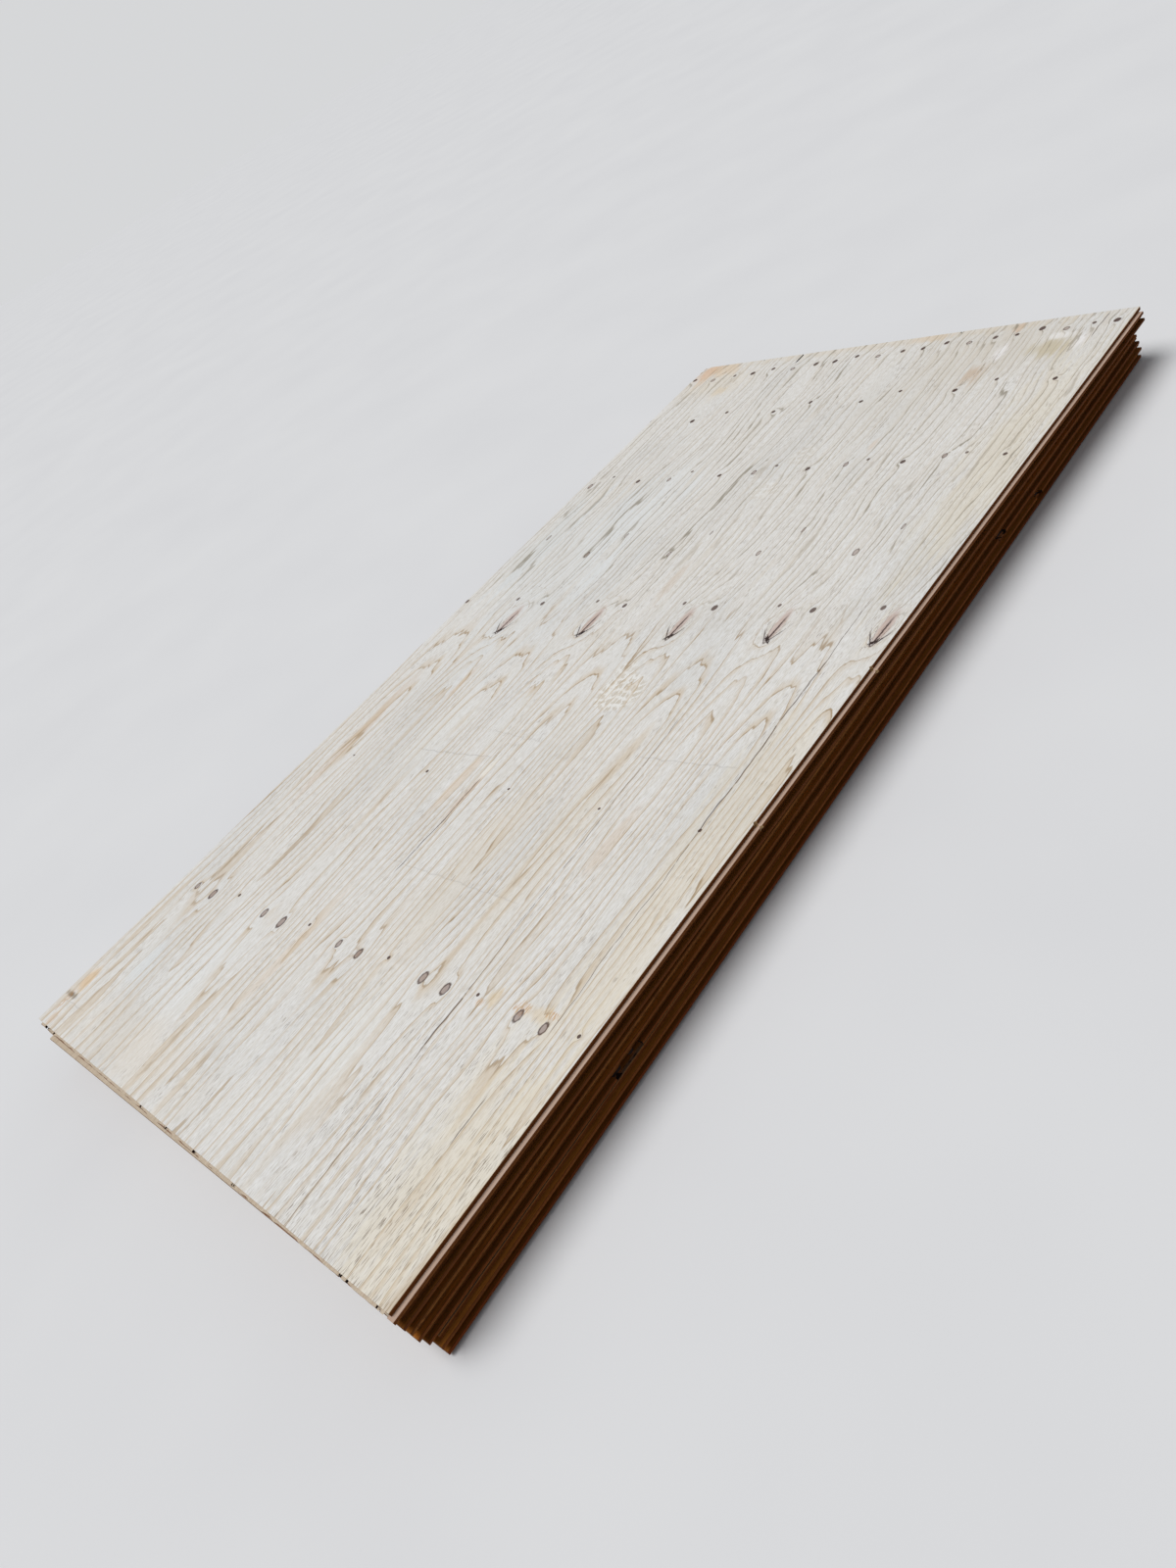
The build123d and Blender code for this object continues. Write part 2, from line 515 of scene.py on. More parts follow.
def sole_prints(x, y, soft, fine):
    """How much of a point lies under a rib of a sole, and how much between ribs."""
    bend = (soft - 0.5) * 60 + (fine - 0.5) * 14
    across = abs(((x + y * 0.2 + bend) / 21.0).rest() - 0.5).rise(0.25, 0.4)
    along = abs(((y - x * 0.15 - bend) / 15.0).rest() - 0.5).rise(0.25, 0.4)
    ribs = across.most(along)
    total = 0.0
    for middle, level, half_long, half_wide, strength in PRINTS:
        reach = oval(x - middle, y - level, half_long, half_wide)
        total = ((reach + (fine - 0.5) * 0.9).rise(1.0, 0.75) * strength).most(total)
    return total * ribs, total * (1 - ribs)


def scratches(x, y):
    """How much of a point lies in a scratch across the grain."""
    total = 0.0
    for place, slope, start, end, strength in SCRATCHES:
        ends = y.rise(start, start + 30) * y.rise(end, end - 30)
        total = (abs(x - place - y * slope).rise(2.4, 0.6) * ends * strength).most(total)
    return total


def crack_lines(finish, x, y, streak):
    """How much of a point lies in a crack."""
    wander = (x / 41).sine() * 1.6 + (x / 17 + 1).sine() * 0.8 + (x / 6.1 + 2).sine() * 0.35
    gaps = finish.grain(26, 400, seed=23)
    total = 0.0
    for start, end, level, slope, width in CRACKS:
        ends = x.rise(start, start + 25) * x.rise(end, end - 25)
        gap = abs(y - level - x * slope - wander)
        total = (gap.rise(width * 1.5, width * 0.4) * ends).most(total)
    return total * (streak * 1.6).least(1) * (gaps.rise(0.34, 0.44) * 0.75 + 0.25)


def bare_veneer(finish, streak):
    """The broad colour of the veneer, and three of the noises that make it."""
    broad = finish.grain(260, 9, seed=5)
    base = finish.mix(broad.rise(0.4, 0.7) * 0.4, PALE, WARM)
    large = finish.grain(420, 190, seed=8)
    base = finish.mix(large.rise(0.45, 0.75) * 0.4, base, GREY)
    base = finish.mix(streak.rise(0.62, 0.3) * 0.14, base, LATE)
    fuzz = finish.grain(16, 2.0, seed=9, detail=4, rough=0.65)
    base = finish.mix(fuzz.rise(0.45, 0.65) * 0.5, base, DUSTY)
    base = finish.mix(fuzz.rise(0.45, 0.28) * 0.65, base, BLEACHED)
    return base, broad, large, fuzz


def stained_and_cool_lit(finish, base, x, y, soft, streak, broad):
    """The veneer with its stains, and with broad patches of painted cool light."""
    blur = streak * 0.8 + 0.45
    fray = (soft - 0.5) * 1.6 + (broad - 0.5) * 1.6
    for middle, level, half_long, half_wide, patch_colour, depth in STAINS_AND_COOL_LIGHT:
        reach = oval(x - middle, y - level, half_long, half_wide)
        spread = (reach + fray).rise(1.15, 0.35) * blur
        base = finish.mix(spread * depth * 0.8, base, patch_colour)
    return base


def checks(finish, x, y):
    """Small checks along the grain, in patches and most of all at the near right corner."""
    check = finish.grain(26, 1.5, seed=12, detail=1, rough=0.55)
    patch = finish.grain(150, 55, seed=13)
    corner = x.rise(460, 80) * y.rise(460, 140)
    often = (patch.rise(0.46, 0.6) * 0.7 + corner * 0.5 + 0.15).least(1)
    return (check + corner * 0.06).rise(0.64, 0.72) * often


def peeled_face(sheet):
    """The upper face: one sheet of rotary cut pine veneer with its rings, knots and marks."""
    finish = Finish(f"{sheet.name}_face", rough=0.62, gloss=0.3)
    x, y, _ = finish.place(sheet)

    # Noises that the parts share
    fine = finish.grain(7, 2.6, seed=1, detail=3)
    soft = finish.grain(160, 30, seed=2)
    streak = finish.grain(75, 1.5, seed=3, detail=3, rough=0.6)

    # Veneer with its stains, checks and marks
    base, broad, large, fuzz = bare_veneer(finish, streak)
    base = stained_and_cool_lit(finish, base, x, y, soft, streak, broad)
    torn = checks(finish, x, y)
    base = finish.mix(torn * 0.8, base, CHECK)
    flecks = resin_flecks(x, y, fuzz)
    base = finish.mix(flecks * 0.65, base, RESIN)
    ribs, between = sole_prints(x, y, soft, fine)
    base = finish.mix(ribs * 0.6, base, PRINT_PALE)
    base = finish.mix(between * 0.5, base, PRINT_DULL)
    marks = scratches(x + (soft - 0.5) * 16, y) * streak.rise(0.3, 0.5)
    base = finish.mix(marks, base, SCRATCH)
    cracks = crack_lines(finish, x, y, streak)
    height = streak * 0.2 - fuzz * 0.4 - torn * 0.7 - cracks * 0.6

    # Branches, which push the rings aside
    turn, girth, log_x, log_y, log_z = log_place(x, y)
    push, island = islands(finish, x, turn, (soft - 0.5) * 1.4 + (fine - 0.5) * 0.3)
    push = (large - 0.5) * 55 - push
    swell, rim, heart = branches(finish, x, turn, girth, (fine - 0.5) * 0.5)
    flame_swell, pink, line, black = flames(finish, x, turn, girth, fine)

    # The pith wanders off the lathe's axis, which makes the arches of the figure
    pith_x = x.along(*PITH_X)
    pith_y = x.along(*PITH_Y)
    from_pith = ((log_x - pith_x) ** 2 + (log_y - pith_y) ** 2).root()
    from_pith = from_pith - x * 0.0035 + swell + flame_swell
    slow = finish.noise(log_x / 40, log_y / 40, log_z / 520, detail=1)
    quick = finish.noise(log_x / 12, log_y / 12, log_z / 170, detail=1)
    tremble = finish.noise(log_x / 3, log_y / 3, log_z / 26, detail=2)
    rings = from_pith + (slow - 0.5) * 11.0 + (quick - 0.5) * 2.8 + (tremble - 0.5) * 0.35
    rings = rings / RING

    # Each ring goes slowly to tan and ends in a line of late wood
    share = rings.rest()
    strength = finish.chance(rings.whole()) * 0.5 + 0.5
    faint = soft.rise(0.25, 0.6) * 0.6 + 0.4
    near = x.rise(1460, 1220)
    tan = share.rise(0.55, 0.93) * share.rise(1.0, 0.96)
    late = share.rise(0.9, 0.95) * share.rise(1.0, 0.97)
    colour = finish.mix(tan * faint * x.rise(1380, 1080) * 0.42 + tan * near * 0.08, base, TAN)
    late = late * strength * faint * (near * 0.85 + 0.05) * (x.rise(0, 600) * 0.45 + 0.55)
    colour = finish.mix(late, colour, LATE)

    # Beyond the torn branches the rings show as long thin lines, the same number on each turn
    lines = (turn + push / FAR_GIRTH) * LINES_A_TURN + swell * 0.14 + flame_swell * 0.25
    lines = lines + (slow - 0.5) * 3.0 + (quick - 0.5) * 0.6 + (tremble - 0.5) * 0.15
    wave = lines.rest()
    dark_line = wave.rise(0.79, 0.9) * wave.rise(1.0, 0.94)
    dark_line = dark_line * (finish.chance(lines.whole()) * 0.55 + 0.25)
    beyond = (1 - near) * (1 - island)
    colour = finish.mix(wave.rise(0.3, 0.9) * beyond * 0.16, colour, TAN)
    colour = finish.mix(dark_line * beyond, colour, FAR_LATE)

    # Knots, torn branches and cracks
    colour = finish.mix(heart * 0.85, colour, KNOT_HEART)
    colour = finish.mix(rim, colour, KNOT_RIM)
    colour = finish.mix(pink * 0.65, colour, TORN_WOOD)
    colour = finish.mix(line * 0.92, colour, TORN_LINE)
    colour = finish.mix(black, colour, TORN_HEAD)
    colour = finish.mix(cracks, colour, CRACK)
    return finish.dress(colour, height, depth=0.35)


# Edges, as the saw and the cutter left them

EDGE_LIGHT = paint(158, 104, 50)
EDGE_MIDDLE = paint(130, 78, 32)
EDGE_DARK = paint(86, 46, 18)
EDGE_RED = paint(126, 56, 24)
# Painted highlight for the upper and lower arrises of the edges
EDGE_HIGHLIGHT = paint(188, 150, 104)
GLUE = paint(50, 26, 14)
END_LIGHT = paint(202, 188, 166)
END_DARK = paint(150, 124, 96)
# Painted shade: the long ledges of the sheets under the top one, the same cut surface as the top sheet's
# pale ledge, made dark brown
SHADED_LEDGE_LIGHT = paint(156, 98, 38)
SHADED_LEDGE_DARK = paint(94, 50, 16)
TOP_LEDGE_LIGHT = paint(192, 168, 152)
TOP_LEDGE_DARK = paint(164, 136, 118)
END_LEDGE_LIGHT = paint(206, 194, 176)
END_LEDGE_DARK = paint(164, 144, 120)
INNER_LIGHT = paint(214, 202, 184)
INNER_DARK = paint(196, 176, 150)

# How dark and how red each sheet's edges are, and what share of light its long ledge keeps in painted shade,
# from the floor up
EDGE_TONES = {
    "bottom_sheet": (0.05, 0.55, 0.85),
    "sheet_2": (0.05, 0.3, 1.0),
    "sheet_3": (0.4, 0.2, 0.6),
    "sheet_4": (0.0, 0.0, 1.25),
    "sheet_5": (0.15, 0.0, 0.95),
    "sheet_6": (0.6, 0.1, 0.6),
    "top_sheet": (0.35, 0.1, 1.0),
}

# Knots in the right edges: place along, height, half length, half height
EDGE_KNOTS = {
    "bottom_sheet": [(175, 7, 60, 5), (1620, 9, 40, 6)],
    "sheet_2": [(24, 9, 18, 5), (905, 9, 30, 5)],
    "sheet_3": [(356, 5, 30, 5), (1290, 9, 22, 5)],
    "sheet_4": [(352, 12, 34, 6)],
    "sheet_5": [(660, 9, 30, 5)],
    "sheet_6": [(96, 8, 14, 5)],
}


def cut_edge(sheet, across_grain, seed):
    """An edge of a sheet: plies that show long grain, between plies that show end grain."""
    finish = Finish(f"{sheet.name}_{'end' if across_grain else 'side'}", rough=0.8, gloss=0.08)
    x, y, z = finish.place(sheet)
    dark, red, _ = EDGE_TONES[sheet.name]

    def streaks(long, high, number, **more):
        """Noise with patches of that length and height, on whichever side it is."""
        return finish.grain(long, long, high, seed=seed + number, **more)

    # Which ply a point is in, and whether that ply shows its end grain
    wave = (streaks(170, 40, 0, detail=1) - 0.5) * 0.9
    plies_up = (z + wave) / PLY
    ply = plies_up.whole()
    inside = plies_up.rest()
    cross = (ply + (1 if across_grain else 0)) / 2
    end_grain = (cross.rest() * 2).rise(0.4, 0.6)

    tint = finish.chance(ply * 3.1 + seed)
    slow = streaks(260, 5, 1)
    long_grain = streaks(60, 0.45, 3, detail=3, rough=0.6)
    speckle = streaks(1.6, 0.9, 5, rough=0.6)
    ring_marks = streaks(7, 6, 7)

    # Knots bend the grain round them
    lift = (streaks(45, 9, 9) - 0.5) * 26
    knots = [] if across_grain else EDGE_KNOTS.get(sheet.name, [])
    for middle, level, half_long, half_high in knots:
        whorl = oval(x - middle, z - level, half_long, half_high)
        lift = whorl.rise(2.2, 0.0) * 14 + lift
        speckle = (whorl.rise(0.8, 0.3) * 0.5 + speckle).least(1)
    curl = ((z + lift) / 2.3).rest()

    plain = finish.mix(long_grain.rise(0.35, 0.66), EDGE_LIGHT, EDGE_MIDDLE)
    plain = finish.mix(curl.rise(0.55, 0.95) * curl.rise(1.0, 0.96) * 0.8, plain, EDGE_DARK)
    rough = finish.mix(speckle.rise(0.3, 0.7) * 0.8, EDGE_MIDDLE, EDGE_DARK)
    rough = finish.mix(ring_marks.rise(0.5, 0.64) * 0.5, rough, EDGE_DARK)
    colour = finish.mix(end_grain * 0.8, plain, rough)
    if across_grain:
        colour = finish.mix(0.65, colour, finish.mix(long_grain.rise(0.3, 0.7), END_LIGHT, END_DARK))
    colour = finish.mix(tint.rise(0.5, 1.0) * 0.5, colour, EDGE_DARK)
    colour = finish.mix(tint.rise(0.3, 0.0) * 0.4, colour, EDGE_RED)
    colour = finish.mix(dark, colour, EDGE_DARK)
    colour = finish.mix(red, colour, EDGE_RED)
    colour = finish.mix(slow.rise(0.45, 0.75) * 0.5, colour, EDGE_DARK)

    # Dark glue between plies, and a painted highlight along the upper and lower arrises
    glue = abs(inside - 0.5).rise(0.4, 0.48)
    colour = finish.mix(glue * 0.9, colour, GLUE)
    arris_highlight = abs(z - 9).rise(8.1, 8.8)
    colour = finish.mix(arris_highlight * 0.35, colour, EDGE_HIGHLIGHT)
    height = long_grain * 0.35 + speckle * end_grain * 0.8 - glue * 0.6 - end_grain * 0.5
    return finish.dress(colour, height, depth=0.45)


def plain_face(sheet, seed):
    """The faces inside the stack and the one on the floor: plain pine with fine grain, and painted shade in
    edge brown along the right edge.
    """
    finish = Finish(f"{sheet.name}_plain", rough=0.65, gloss=0.3)
    _, y, _ = finish.place(sheet)
    bend = (finish.grain(300, 90, seed=seed) - 0.5) * 60
    rings = ((y + bend) / 24).rest()
    late = rings.rise(0.5, 0.93) * rings.rise(1.0, 0.95)
    streak = finish.grain(70, 1.5, seed=seed + 1, detail=3, rough=0.6)
    colour = finish.mix(streak.rise(0.3, 0.7) * 0.5, INNER_LIGHT, INNER_DARK)
    colour = finish.mix(late * 0.5, colour, LATE)
    # Painted shade: edge brown within 16 mm of the right edge, where a lower sheet's face shows in the shade
    # under the sheet above
    rim = y.rise(16, 9)
    colour = finish.mix(rim * 0.85, colour, finish.mix(streak.rise(0.3, 0.7), EDGE_LIGHT, EDGE_DARK))
    return finish.dress(colour, streak, depth=0.2)


def shaded(colour, share):
    """A colour with that share of its light."""
    return (*(value * share for value in colour[:3]), 1.0)


def ledge_face(sheet, place, seed, light, dark):
    """The ledges beside the tongues, where the cutter went along between two plies."""
    finish = Finish(f"{sheet.name}_{place}", rough=0.8, gloss=0.08)
    finish.place(sheet)
    fibre = finish.grain(40, 1.2, seed=seed, detail=3, rough=0.6)
    cloud = finish.grain(120, 7, seed=seed + 2)
    colour = finish.mix(fibre.rise(0.3, 0.7) * 0.6, light, dark)
    colour = finish.mix(cloud.rise(0.5, 0.8) * 0.5, colour, dark)
    return finish.dress(colour, fibre, depth=0.25)


def broken_wood(sheet, name, light, dark):
    """Breaks: fibrous and uneven. In near black colours it is the painted shade inside gaps and splits."""
    finish = Finish(name, rough=0.8, gloss=0.2)
    finish.place(sheet)
    fibre = finish.grain(14, 0.8, 0.8, detail=3, rough=0.65)
    lump = finish.grain(6, 4, 3, seed=4)
    colour = finish.mix(fibre.rise(0.35, 0.65), light, dark)
    colour = finish.mix(lump.rise(0.5, 0.75) * 0.6, colour, GLUE)
    return finish.dress(colour, fibre + lump * 0.5, depth=0.8)


# Boards

def select_only(piece):
    """Makes a piece the only one selected, and the active one."""
    bpy.ops.object.select_all(action="DESELECT")
    piece.select_set(True)
    bpy.context.view_layer.objects.active = piece


def apply_place():
    """Makes the place, turn and size of the selected piece part of its mesh."""
    bpy.ops.object.transform_apply(location=True, rotation=True, scale=True)


def leave_edit():
    bpy.ops.object.mode_set(mode="OBJECT")


def block(low, high, cuts=0, rough=0.0, seed=0, turn=0.0):
    """A block between two corners, turned about its low corner, with its sides roughened."""
    size = Vector(high) - Vector(low)
    bpy.ops.mesh.primitive_cube_add(size=1, location=size / 2)
    piece = bpy.context.object
    piece.name = "block"
    piece.scale = size
    apply_place()
    bpy.ops.object.mode_set(mode="EDIT")
    bpy.ops.mesh.select_all(action="SELECT")
    if cuts:
        longest = max(range(3), key=lambda axis: size[axis])
        edges_along(piece, longest)
        bpy.ops.mesh.subdivide(number_cuts=cuts)
        bpy.ops.mesh.select_all(action="SELECT")
    if rough:
        bpy.ops.transform.vertex_random(offset=rough, seed=seed)
    leave_edit()
    piece.rotation_euler = (0, 0, turn)
    piece.location = low
    apply_place()
    return piece


def edges_along(piece, axis):
    """Selects the edges of a piece in edit mode that run along that axis."""
    bpy.ops.mesh.select_mode(type="EDGE")
    bpy.ops.mesh.select_all(action="DESELECT")
    leave_edit()
    points = piece.data.vertices
    for edge in piece.data.edges:
        step = points[edge.vertices[1]].co - points[edge.vertices[0]].co
        edge.select = abs(step[axis]) > 0.9 * step.length
    bpy.ops.object.mode_set(mode="EDIT")


def join_or_cut(board, other, way, material=None):
    """Joins another block to a board, or takes it out and leaves the cut in that finish."""
    if material:
        other.data.materials.append(material)
    select_only(board)
    change = board.modifiers.new("change", "BOOLEAN")
    change.operation = way
    change.object = other
    change.solver = "EXACT"
    change.material_mode = "TRANSFER"
    bpy.ops.object.modifier_apply(modifier="change")
    bpy.data.objects.remove(other)


def cut(board, cutter, material=None):
    """Takes a block out of a board."""
    join_or_cut(board, cutter, "DIFFERENCE", material)


def make_board(sheet):
    """A sheet with its tongues and grooves, in millimetres from its corner."""
    def on_arris(first, second):
        low = max(first.z, second.z) < 0.1
        high = min(first.z, second.z) > sheet.thick - 0.1
        return low or high

    end_reach = STUB if sheet is TOP else REACH
    board = block((0, 0, 0), (sheet.length, sheet.width, sheet.thick))
    board.name = f"{sheet.name}_board"
    # A strip for each tongue, which reaches some way into the sheet
    for low, high in (
        ((-end_reach, -REACH), (sheet.length, 20)),
        ((-end_reach, 10), (20, sheet.width)),
    ):
        tongue = block((*low, CHEEK), (*high, CHEEK + TONGUE))
        if sheet is TOP and low[1] > 0:
            fray_tip(tongue)
        bevel_tips(tongue, end_reach)
        join_or_cut(board, tongue, "UNION")
    # The cutter runs the whole edge, so the grooves take the ends of the tongues too
    floor, ceiling = CHEEK - PLAY, CHEEK + TONGUE + PLAY
    start = -REACH - 5
    past_corner = (sheet.length + 5, sheet.width + 5, ceiling)
    cut(board, block((start, sheet.width - REACH - SPARE, floor), past_corner))
    cut(board, block((sheet.length - REACH - SPARE, start, floor), past_corner))
    bevel_edges(board, on_arris, ARRIS, 2)
    return board


def fray_tip(tongue):
    """Makes the tip of the top sheet's end tongue ragged, as it split along its grain."""
    select_only(tongue)
    # Points every 5.5 mm along the tip and every 1.5 mm up it
    for axis, cuts in ((1, 220), (2, 3)):
        bpy.ops.object.mode_set(mode="EDIT")
        edges_along(tongue, axis)
        bpy.ops.mesh.subdivide(number_cuts=cuts)
        leave_edit()
    # Each point of the tip, apart from its ends, goes in by up to five steps of 0.4 mm
    points = tongue.data.vertices
    steps = [random.choice((0, 0, 1, 1, 2, 3, 4, 5)) for point in points]
    for step in range(1, 6):
        bpy.ops.object.mode_set(mode="EDIT")
        bpy.ops.mesh.select_mode(type="VERT")
        bpy.ops.mesh.select_all(action="DESELECT")
        leave_edit()
        for point, own in zip(points, steps):
            point.select = own == step and point.co.x < -2 and 12 < point.co.y < 1218
        bpy.ops.object.mode_set(mode="EDIT")
        bpy.ops.transform.translate(value=(step * 0.4, 0, 0))
        leave_edit()


def bevel_edges(piece, chosen, offset, segments):
    """Bevels the edges whose two ends pass the test."""
    select_only(piece)
    bpy.ops.object.mode_set(mode="EDIT")
    bpy.ops.mesh.select_mode(type="EDGE")
    bpy.ops.mesh.select_all(action="DESELECT")
    leave_edit()
    points = piece.data.vertices
    for edge in piece.data.edges:
        edge.select = chosen(*(points[number].co for number in edge.vertices))
    bpy.ops.object.mode_set(mode="EDIT")
    bpy.ops.mesh.bevel(offset=offset, segments=segments)
    leave_edit()


def bevel_tips(tongue, end_reach):
    """Bevels the long edges of a tongue's tip, which the stub of the top sheet has lost."""
    def on_tip(first, second):
        level = abs(first.z - second.z) < 0.1
        long_tip = max(first.y, second.y) < -REACH + 0.1
        end_tip = max(first.x, second.x) < -end_reach + 0.1 and end_reach == REACH
        return level and (long_tip or end_tip)

    points = tongue.data.vertices
    if any(on_tip(*(points[number].co for number in edge.vertices)) for edge in tongue.data.edges):
        bevel_edges(tongue, on_tip, TIP_BEVEL, 1)


def clean_up(board):
    """Joins points that cuts left on one another, and closes what that leaves open."""
    select_only(board)
    bpy.ops.object.mode_set(mode="EDIT")
    bpy.ops.mesh.select_all(action="SELECT")
    bpy.ops.mesh.remove_doubles(threshold=0.005)
    bpy.ops.mesh.dissolve_degenerate(threshold=0.005)
    bpy.ops.mesh.select_all(action="DESELECT")
    bpy.ops.mesh.select_mode(type="EDGE")
    bpy.ops.mesh.select_non_manifold(
        use_wire=True,
        use_boundary=True,
        use_multi_face=False,
        use_non_contiguous=False,
        use_verts=False,
    )
    bpy.ops.mesh.edge_face_add()
    leave_edit()


def settle(piece, sheet):
    """Puts a piece made in a sheet's own millimetres where that sheet lies."""
    piece.data.transform(sheet.matrix @ Matrix.Scale(MM, 4))
    piece.data.update()
    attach(piece, "root")


def finish_board(board, sheet, finishes):
    """Gives each face of a board the finish of its place."""
    board.data.materials.clear()
    order = {}
    for place, material in finishes.items():
        if material not in list(board.data.materials):
            board.data.materials.append(material)
        order[place] = list(board.data.materials).index(material)
    for polygon in board.data.polygons:
        normal, middle = polygon.normal, polygon.center
        if normal.z > 0.9 and middle.z > sheet.thick - 0.1:
            place = "face"
        elif normal.z < -0.9 and middle.z < 0.1:
            place = "plain"
        elif abs(normal.z) > 0.9:
            near_end = min(board.data.vertices[number].co.y for number in polygon.vertices) > -1
            place = "end_ledge" if near_end and middle.x < 0 else "ledge"
        else:
            place = "end" if abs(normal.x) > abs(normal.y) else "side"
        polygon.material_index = order[place]


# Breaks and losses

BREAK_LIGHT = paint(206, 176, 130)
BREAK_DARK = paint(140, 98, 58)
# Painted shade: near black for the faces of gaps and splits
GAP_SHADE_LIGHT = paint(46, 26, 18)
GAP_SHADE_DARK = paint(20, 12, 10)

# Pieces gone from the long tongues: where each starts, and its length
TONGUE_LOSSES = {
    "sheet_2": [(1857, 25)],
    "sheet_3": [(407, 66), (1695, 33)],
}
# The end tongue of the top sheet is a ragged stub, with breaks right through: start and length
STUB_BREAKS = [(5, 26), (96, 5), (111, 7), (402, 14), (530, 14), (633, 14), (725, 19), (1140, 7), (1153, 38)]
# The two lines of the broken far left corner: a point on each, its direction in radians, its length
CORNER_LINES = [(2441, 1195, 2.44, 34), (2421, 1212.2, 3.02, 70)]
# Nicks in the right edge of the top sheet and in its tongue: place along
NICKS = [857, 1232]
NICK_HALF = (4.5, 3, 5)
# Splits at the far end of the top sheet: place across, length and half width
FAR_SPLITS = [(872, 36, 2.4), (412, 9, 1.4), (1003, 6, 1.2)]
# Pointed inner end of the longest split: its middle and half its size
SPLIT_TIP = (2404, 872)
SPLIT_TIP_HALF = (14, 2.1, 5.5)
# Chip out of the lower right edge of the bottom sheet: its middle and half its size
CHIP = ((782, 0, 0), (25, 6, 3.5))


def wedge(middle, half, lying=False):
    """A four-sided prism with a diamond section: upright, or lying along the sheet."""
    turn = (0, math.pi / 2, 0) if lying else (0, 0, 0)
    bpy.ops.mesh.primitive_cylinder_add(vertices=4, radius=1, depth=2, rotation=turn)
    piece = bpy.context.object
    piece.name = "wedge"
    apply_place()
    piece.scale = half
    piece.location = middle
    apply_place()
    return piece


def break_tongues(board, sheet, dark):
    """Gaps in the long tongue of a sheet, their faces near black with painted shade."""
    for start, length in TONGUE_LOSSES.get(sheet.name, []):
        low = (start, -REACH - 2, CHEEK - 0.02)
        high = (start + length, -0.3, CHEEK + TONGUE + 0.02)
        cut(board, block(low, high, cuts=6, rough=0.2, seed=int(start)), dark)


def break_stub(board, dark):
    """Gaps right through what is left of the top sheet's end tongue, their faces near black with painted
    shade.
    """
    for start, length in STUB_BREAKS:
        low = (-STUB - 2, start, CHEEK - 0.05)
        high = (-0.1, start + length, CHEEK + TONGUE + 0.05)
        cut(board, block(low, high, cuts=6, rough=0.4, seed=start), dark)


def break_corner(board, broken):
    """The far left corner, gone a little further in one ply than in the next."""
    for ply in range(PLIES):
        low_z, high_z = ply * PLY, (ply + 1) * PLY
        if ply == 0:
            low_z -= 1
        if ply == PLIES - 1:
            high_z += 1
        for x, y, turn, length in CORNER_LINES:
            inward = random.uniform(-2.2, 1.2)
            middle = (x + inward * 0.5, y + inward, low_z)
            high = (middle[0] + length, middle[1] + 40, high_z)
            piece = block(middle, high, cuts=8, rough=0.5, seed=ply + 40, turn=turn)
            mirror_over(piece, middle, turn)
            cut(board, piece, broken)


def mirror_over(piece, point, turn):
    """Turns a piece over the line through a point, so that it lies on the outer side."""
    line = Matrix.Rotation(turn, 4, "Z")
    flip = line @ Matrix.Scale(-1, 4, Vector((0, 1, 0))) @ line.inverted()
    piece.data.transform(Matrix.Translation(point) @ flip @ Matrix.Translation(-Vector(point)))
    piece.data.flip_normals()
    piece.data.update()


def nick_edges(board, broken):
    """Nicks in the upper right edge and in the tip of the tongue below each."""
    for place in NICKS:
        cut(board, wedge((place, 0, 14.5), NICK_HALF), broken)
        cut(board, wedge((place, -REACH, 7.5), NICK_HALF), broken)


def split_far_end(board, sheet, dark):
    """Splits at the far end of the face, the longest of them with a pointed inner end, dark inside with
    painted shade.
    """
    cut(board, wedge((*SPLIT_TIP, sheet.thick), SPLIT_TIP_HALF), dark)
    for across, length, width in FAR_SPLITS:
        low = (sheet.length - length, across - width, 12.5)
        high = (sheet.length + 2, across + width, sheet.thick + 2)
        cut(board, block(low, high, cuts=4, rough=0.3, seed=across), dark)


# The stack, from the floor up

def finishes_of(sheet, number):
    """The finish for each kind of place on a sheet. The number gives each sheet its own noise."""
    top = sheet is TOP
    # Below the top sheet the long ledges take painted shade, a different amount for each sheet
    ledge_light_share = EDGE_TONES[sheet.name][2]
    light = TOP_LEDGE_LIGHT if top else shaded(SHADED_LEDGE_LIGHT, ledge_light_share)
    dark = TOP_LEDGE_DARK if top else shaded(SHADED_LEDGE_DARK, ledge_light_share)
    plain = plain_face(sheet, 3.7 * number)
    return {
        "face": peeled_face(sheet) if top else plain,
        "side": cut_edge(sheet, False, 1.3 + 5.1 * number),
        "end": cut_edge(sheet, True, 2.9 + 4.3 * number),
        "plain": plain,
        "ledge": ledge_face(sheet, "ledge", 2.1 * number, light, dark),
        "end_ledge": ledge_face(sheet, "end_ledge", 1.7 * number, END_LEDGE_LIGHT, END_LEDGE_DARK),
    }


broken = broken_wood(TOP, "broken_wood", BREAK_LIGHT, BREAK_DARK)
# Gaps and splits get a near black finish: painted shade inside them
gap_shade = broken_wood(TOP, "gap_shade", GAP_SHADE_LIGHT, GAP_SHADE_DARK)
for number, name in enumerate(LEVELS):
    sheet = sheets[name]
    board = make_board(sheet)
    finish_board(board, sheet, finishes_of(sheet, number))
    break_tongues(board, sheet, gap_shade)
    if sheet is TOP:
        break_stub(board, gap_shade)
        break_corner(board, broken)
        nick_edges(board, broken)
        split_far_end(board, sheet, gap_shade)
    if name == "bottom_sheet":
        cut(board, wedge(*CHIP, lying=True), broken)
    clean_up(board)
    settle(board, sheet)
    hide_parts(name)


# Floor, light and camera

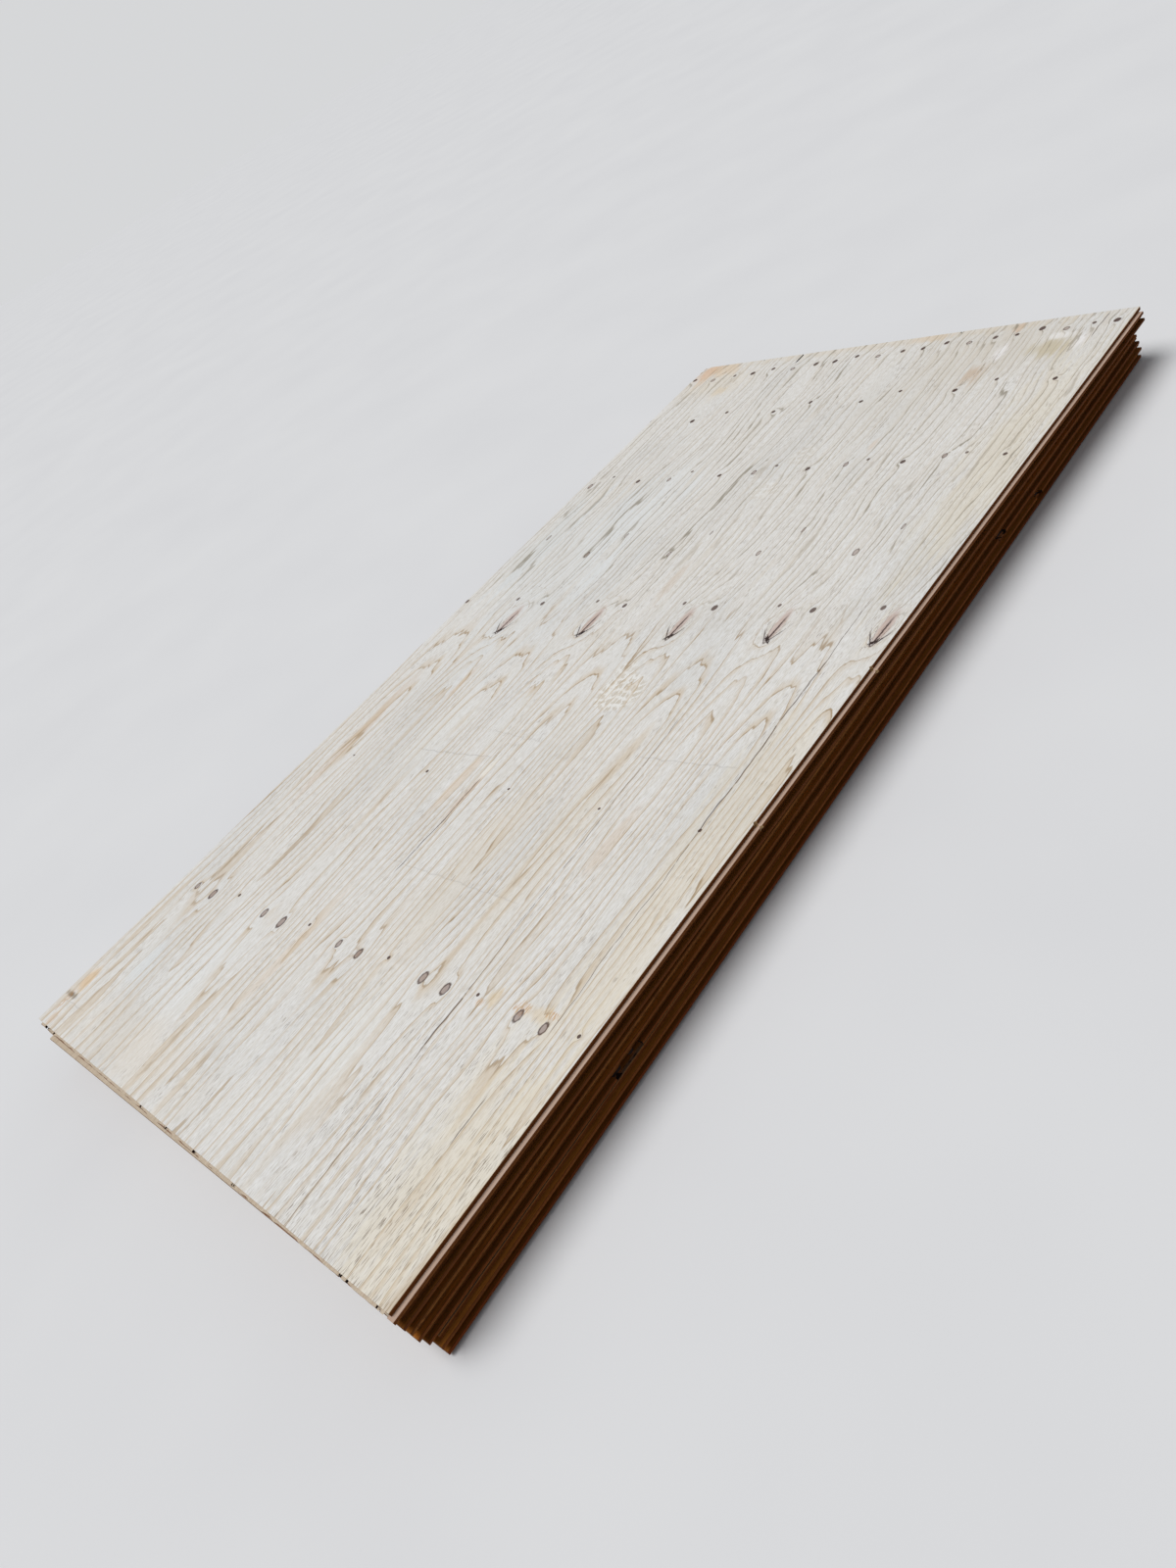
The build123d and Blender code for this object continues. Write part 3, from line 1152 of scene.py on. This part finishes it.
# Strength of the sky, and where the sun stands
SKY = 0.26
SUN_HEIGHT = math.radians(66)
SUN_SIDE = math.radians(140)
SUN_WIDTH = math.radians(40)
FLOOR_LIGHT = paint(222, 223, 225)
FLOOR_DARK = paint(214, 215, 218)
BACKDROP = paint(214, 215, 216.5)


def make_floor():
    """A plain pale floor with faint clouds."""
    finish = Finish("floor", rough=0.85, gloss=0.2)
    coordinates = finish.add("ShaderNodeTexCoord")
    noise = finish.add("ShaderNodeTexNoise")
    noise.inputs["Scale"].default_value = 2.0
    finish.tree.links.new(coordinates.outputs["Object"], noise.inputs["Vector"])
    cloud = Number(finish, noise.outputs[0])
    finish.dress(finish.mix(cloud, FLOOR_DARK, FLOOR_LIGHT))
    bpy.ops.object.select_all(action="DESELECT")
    bpy.ops.mesh.primitive_plane_add(size=60, location=(0, 0, 0))
    floor = bpy.context.object
    floor.name = "floor"
    floor.data.materials.append(finish.material)


def make_light():
    """A soft sun from the near left, and a dim even sky that shows pale to the camera alone."""
    world = bpy.data.worlds.new("studio")
    bpy.context.scene.world = world
    world.use_nodes = True
    tree = world.node_tree
    sky = tree.nodes["Background"]
    sky.inputs["Color"].default_value = (0.95, 0.97, 1.0, 1)
    sky.inputs["Strength"].default_value = SKY
    backdrop = tree.nodes.new("ShaderNodeBackground")
    backdrop.inputs["Color"].default_value = BACKDROP
    path = tree.nodes.new("ShaderNodeLightPath")
    choice = tree.nodes.new("ShaderNodeMixShader")
    tree.links.new(path.outputs["Is Camera Ray"], choice.inputs[0])
    tree.links.new(sky.outputs[0], choice.inputs[1])
    tree.links.new(backdrop.outputs[0], choice.inputs[2])
    tree.links.new(choice.outputs[0], tree.nodes["World Output"].inputs["Surface"])

    sun = bpy.data.lights.new("sun", "SUN")
    sun.energy = (1 - SKY) * math.pi / math.sin(SUN_HEIGHT)
    sun.angle = SUN_WIDTH
    sun.color = (1.0, 0.99, 0.975)
    lamp = bpy.data.objects.new("sun", sun)
    level = math.cos(SUN_HEIGHT)
    ray = Vector((level * math.cos(SUN_SIDE), level * math.sin(SUN_SIDE), math.sin(SUN_HEIGHT)))
    lamp.rotation_euler = ray.to_track_quat("Z", "Y").to_euler()
    bpy.context.scene.collection.objects.link(lamp)


# The camera, from the photograph: its place from the top sheet's near right corner, its axes, the
# photograph's height in pixels and the focal length in the same pixels
EYE = Vector((-7.07, -1047.58, 1138.40)) * MM
RIGHT = Vector((0.5863, -0.6929, -0.4196))
DOWN = Vector((-0.6865, -0.15, -0.7115))
AHEAD = Vector((0.4301, 0.7052, -0.5636))
PHOTO_HEIGHT = 1600
FOCAL_PIXELS = 1154.92


def make_camera():
    """A camera that sees the stack as the photograph shows it."""
    camera = bpy.data.cameras.new("camera")
    camera.sensor_width = 36.0
    camera.lens = camera.sensor_width * FOCAL_PIXELS / PHOTO_HEIGHT
    holder = bpy.data.objects.new("camera", camera)
    bpy.context.scene.collection.objects.link(holder)
    corner = TOP.corner + Vector((0, 0, TOP.thick * MM))
    axes = Matrix((RIGHT, -DOWN, -AHEAD)).transposed()
    holder.matrix_world = Matrix.Translation(corner + EYE) @ axes.to_4x4()
    bpy.context.scene.camera = holder


make_floor()
make_light()
make_camera()
bpy.context.scene.view_settings.view_transform = "Standard"
